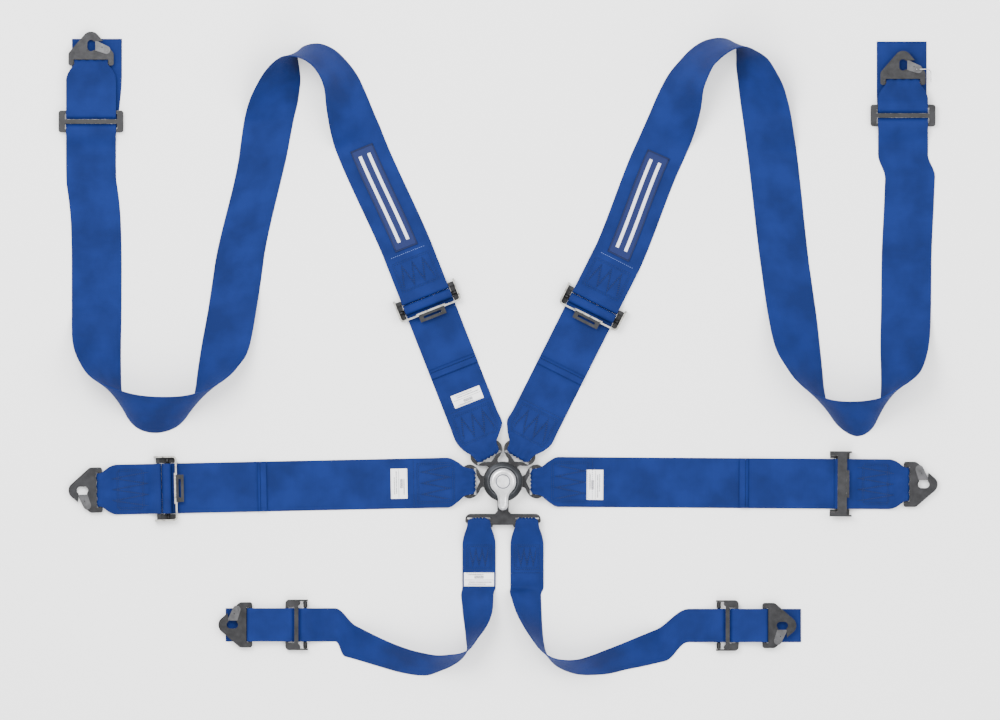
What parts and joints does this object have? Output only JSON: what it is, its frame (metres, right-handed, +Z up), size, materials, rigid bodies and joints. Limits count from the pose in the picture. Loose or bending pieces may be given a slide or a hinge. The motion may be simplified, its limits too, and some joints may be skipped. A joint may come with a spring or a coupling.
{
  "type": "racing harness",
  "caption": "Six-point racing harness with a rotary release buckle, sewn webbing straps, pull adjusters and snap hooks at every strap end.",
  "frame": {"origin": "centre of the buckle's back face, on the plane that the harness lies on", "axes": "+Z up out of the buckle, +Y towards the shoulder hooks, +X towards the right lap hook as seen from above"},
  "size_m": [1.3188, 0.9666, 0.0741],
  "materials": {
    "webbing": "woven polyester webbing, royal blue, low sheen",
    "patch": "sewn patch, darker blue",
    "black_steel": "satin black coated steel",
    "grey_steel": "dark grey phosphated steel",
    "bright_steel": "polished steel",
    "lever_alloy": "satin polished alloy",
    "spring_steel": "spring steel",
    "housing_alloy": "black anodised alloy",
    "cover_alloy": "dark grey anodised alloy"
  },
  "bodies": {
    "buckle": {"back_plate": "black_steel", "housing": "housing_alloy", "cover": "cover_alloy", "latch_springs": "spring_steel", "return_spring": "spring_steel", "cover_screws": "bright_steel", "tongue_lap_left": "grey_steel", "lap_left_inner_webbing": "webbing", "lap_left_outer_webbing": "webbing", "lap_left_adjuster": "black_steel"},
    "release_lever": {"lever": "lever_alloy", "lever_badge": "lever_alloy", "cam": "bright_steel"},
    "lap_right": {"tongue_lap_right": "grey_steel", "lap_right_inner_webbing": "webbing", "lap_right_outer_webbing": "webbing", "lap_right_adjuster": "black_steel"},
    "shoulder_left": {"tongue_shoulder_left": "grey_steel", "shoulder_left_inner_webbing": "webbing", "shoulder_left_outer_webbing": "webbing", "shoulder_left_adjuster": "black_steel", "shoulder_left_slide": "black_steel", "shoulder_left_patch": "patch"},
    "shoulder_right": {"tongue_shoulder_right": "grey_steel", "shoulder_right_inner_webbing": "webbing", "shoulder_right_outer_webbing": "webbing", "shoulder_right_adjuster": "black_steel", "shoulder_right_slide": "black_steel", "shoulder_right_patch": "patch"},
    "crotch": {"tongue_crotch": "grey_steel", "crotch_left_webbing": "webbing", "crotch_left_adjuster": "black_steel", "crotch_right_webbing": "webbing", "crotch_right_adjuster": "black_steel"},
    "lap_left_hook_body": {"lap_left_hook": "grey_steel", "lap_left_gate_pin": "bright_steel"},
    "lap_left_gate_body": {"lap_left_gate": "grey_steel"},
    "lap_left_bar_body": {"lap_left_adjuster_bar": "grey_steel"},
    "shoulder_left_hook_body": {"shoulder_left_hook": "grey_steel", "shoulder_left_gate_pin": "bright_steel"},
    "shoulder_left_gate_body": {"shoulder_left_gate": "grey_steel"},
    "shoulder_left_bar_body": {"shoulder_left_adjuster_bar": "grey_steel"},
    "crotch_left_hook_body": {"crotch_left_hook": "grey_steel", "crotch_left_gate_pin": "bright_steel"},
    "crotch_left_gate_body": {"crotch_left_gate": "grey_steel"},
    "crotch_left_bar_body": {"crotch_left_adjuster_bar": "grey_steel"},
    "lap_right_hook_body": {"lap_right_hook": "grey_steel", "lap_right_gate_pin": "bright_steel"},
    "lap_right_gate_body": {"lap_right_gate": "grey_steel"},
    "lap_right_bar_body": {"lap_right_adjuster_bar": "grey_steel"},
    "shoulder_right_hook_body": {"shoulder_right_hook": "grey_steel", "shoulder_right_gate_pin": "bright_steel", "shoulder_right_clip": "bright_steel"},
    "shoulder_right_gate_body": {"shoulder_right_gate": "grey_steel"},
    "shoulder_right_bar_body": {"shoulder_right_adjuster_bar": "grey_steel"},
    "crotch_right_hook_body": {"crotch_right_hook": "grey_steel", "crotch_right_gate_pin": "bright_steel"},
    "crotch_right_gate_body": {"crotch_right_gate": "grey_steel"},
    "crotch_right_bar_body": {"crotch_right_adjuster_bar": "grey_steel"}
  },
  "joints": [
    {"name": "lever_turn", "type": "hinge", "parent": "buckle", "child": "release_lever", "pos_m": [0, 0, 0.02], "axis": [0, 0, 1], "range_deg": [-50, 50], "stiffness_Nm_per_rad": 0.05, "deforming": ["latch_springs"]},
    {"name": "lap_right_release", "type": "slide", "parent": "buckle", "child": "lap_right", "axis": [1, 0, 0], "range_m": [0, 0.04]},
    {"name": "shoulder_left_release", "type": "slide", "parent": "buckle", "child": "shoulder_left", "axis": [-0.5, 0.866, 0], "range_m": [0, 0.04]},
    {"name": "shoulder_right_release", "type": "slide", "parent": "buckle", "child": "shoulder_right", "axis": [0.5, 0.866, 0], "range_m": [0, 0.04]},
    {"name": "crotch_release", "type": "slide", "parent": "buckle", "child": "crotch", "axis": [0, -1, 0], "range_m": [0, 0.04]},
    {"name": "lap_left_hook_swing", "type": "hinge", "parent": "buckle", "child": "lap_left_hook_body", "pos_m": [-0.60387, -0.01265, 0.00541], "axis": [-0.0209, 0.9998, 0], "range_deg": [0, 60]},
    {"name": "lap_left_gate_open", "type": "hinge", "parent": "lap_left_hook_body", "child": "lap_left_gate_body", "pos_m": [-0.62388, -0.03607, 0.00541], "axis": [0, 0, -1], "range_deg": [0, 28], "stiffness_Nm_per_rad": 0.02, "springref_deg": -8.59},
    {"name": "lap_left_bar_slide", "type": "slide", "parent": "buckle", "child": "lap_left_bar_body", "axis": [-0.9998, -0.0209, 0], "range_m": [0, 0.003]},
    {"name": "shoulder_left_hook_swing", "type": "hinge", "parent": "shoulder_left", "child": "shoulder_left_hook_body", "pos_m": [-0.618, 0.627, 0.00721], "axis": [1, 0, 0], "range_deg": [0, 60]},
    {"name": "shoulder_left_gate_open", "type": "hinge", "parent": "shoulder_left_hook_body", "child": "shoulder_left_gate_body", "pos_m": [-0.595, 0.6475, 0.00721], "axis": [0, 0, 1], "range_deg": [0, 28], "stiffness_Nm_per_rad": 0.02, "springref_deg": -8.59},
    {"name": "shoulder_left_bar_slide", "type": "slide", "parent": "shoulder_left", "child": "shoulder_left_bar_body", "axis": [-0.3649, 0.9311, 0], "range_m": [0, 0.003]},
    {"name": "crotch_left_hook_swing", "type": "hinge", "parent": "crotch", "child": "crotch_left_hook_body", "pos_m": [-0.379, -0.215, 0.00721], "axis": [0, 1, 0], "range_deg": [0, 60]},
    {"name": "crotch_left_gate_open", "type": "hinge", "parent": "crotch_left_hook_body", "child": "crotch_left_gate_body", "pos_m": [-0.3995, -0.192, 0.00721], "axis": [0, 0, 1], "range_deg": [0, 28], "stiffness_Nm_per_rad": 0.02, "springref_deg": -8.59},
    {"name": "crotch_left_bar_slide", "type": "slide", "parent": "crotch", "child": "crotch_left_bar_body", "axis": [-1, 0, 0], "range_m": [0, 0.003]},
    {"name": "lap_right_hook_swing", "type": "hinge", "parent": "lap_right", "child": "lap_right_hook_body", "pos_m": [0.60398, -0.00422, 0.00541], "axis": [-0.007, -1, 0], "range_deg": [0, 60]},
    {"name": "lap_right_gate_open", "type": "hinge", "parent": "lap_right_hook_body", "child": "lap_right_gate_body", "pos_m": [0.62465, 0.01864, 0.00541], "axis": [0, 0, -1], "range_deg": [0, 28], "stiffness_Nm_per_rad": 0.02, "springref_deg": -8.59},
    {"name": "lap_right_bar_slide", "type": "slide", "parent": "lap_right", "child": "lap_right_bar_body", "axis": [1, -0.007, 0], "range_m": [0, 0.003]},
    {"name": "shoulder_right_hook_swing", "type": "hinge", "parent": "shoulder_right", "child": "shoulder_right_hook_body", "pos_m": [0.6, 0.598, 0.00721], "axis": [1, 0, 0], "range_deg": [0, 60]},
    {"name": "shoulder_right_gate_open", "type": "hinge", "parent": "shoulder_right_hook_body", "child": "shoulder_right_gate_body", "pos_m": [0.623, 0.6185, 0.00721], "axis": [0, 0, 1], "range_deg": [0, 28], "stiffness_Nm_per_rad": 0.02, "springref_deg": -8.59},
    {"name": "shoulder_right_bar_slide", "type": "slide", "parent": "shoulder_right", "child": "shoulder_right_bar_body", "axis": [0.4493, 0.8934, 0], "range_m": [0, 0.003]},
    {"name": "crotch_right_hook_swing", "type": "hinge", "parent": "crotch", "child": "crotch_right_hook_body", "pos_m": [0.392, -0.216, 0.00721], "axis": [0, -1, 0], "range_deg": [0, 60]},
    {"name": "crotch_right_gate_open", "type": "hinge", "parent": "crotch_right_hook_body", "child": "crotch_right_gate_body", "pos_m": [0.4125, -0.239, 0.00721], "axis": [0, 0, 1], "range_deg": [0, 28], "stiffness_Nm_per_rad": 0.02, "springref_deg": -8.59},
    {"name": "crotch_right_bar_slide", "type": "slide", "parent": "crotch", "child": "crotch_right_bar_body", "axis": [1, 0, 0], "range_m": [0, 0.003]}
  ]
}
